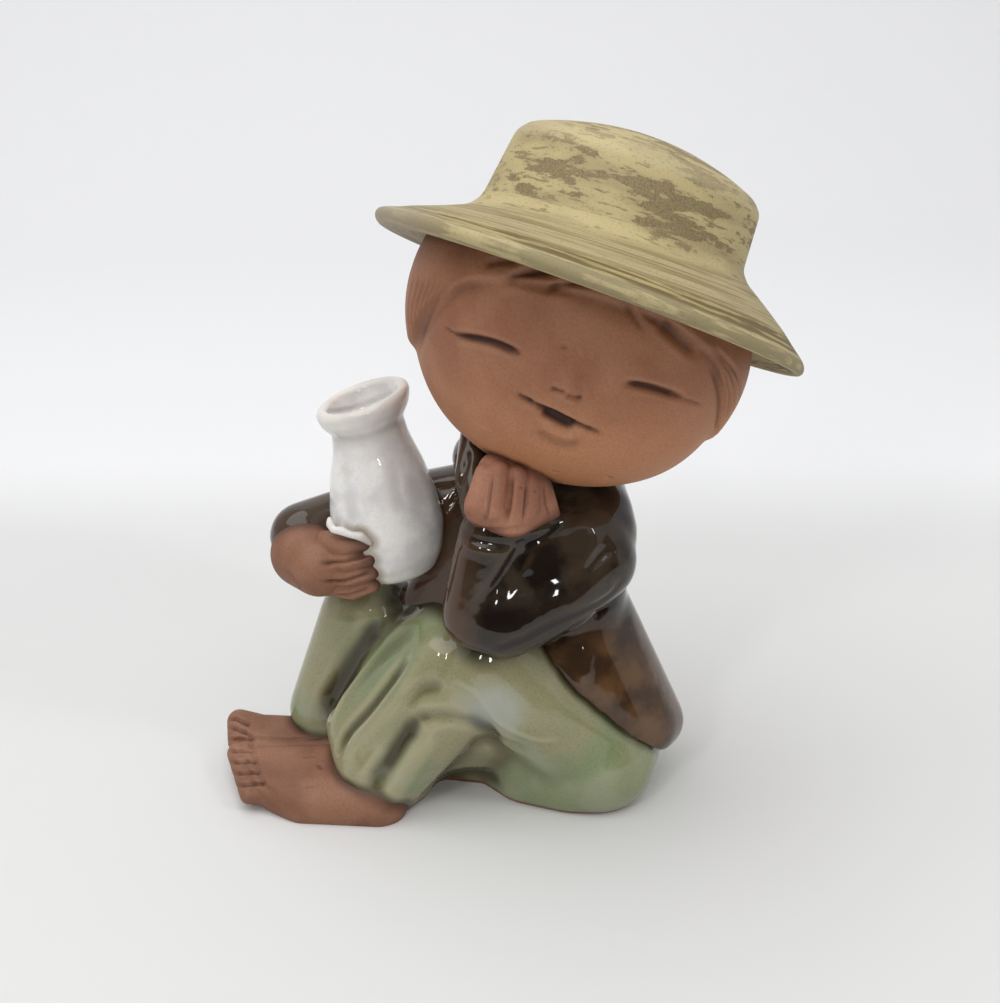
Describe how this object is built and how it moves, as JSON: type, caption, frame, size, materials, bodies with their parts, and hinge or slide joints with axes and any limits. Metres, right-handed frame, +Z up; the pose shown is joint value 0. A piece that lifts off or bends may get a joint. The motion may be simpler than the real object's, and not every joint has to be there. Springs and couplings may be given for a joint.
{
  "type": "pottery figurine",
  "caption": "Hollow slip-cast pottery figurine of a seated smiling child in a wide-brimmed hat, chin on one fist, holding a small open-necked jug on the far knee.",
  "frame": {"origin": "on the flat foot ring, between the seat and the far foot, where the base mount is", "axes": "+Z up; -X is where the child's feet point; -Y is where the child looks and the side the picture was taken from"},
  "size_m": [0.1661, 0.1151, 0.2011],
  "materials": {
    "fired_clay": "part glazed: bare terracotta face, hands and feet, matt straw-coloured hat, gloss white jug, gloss dark brown jacket and gloss grey-green trousers"
  },
  "bodies": {
    "root": {"figurine": "fired_clay"}
  },
  "joints": []
}
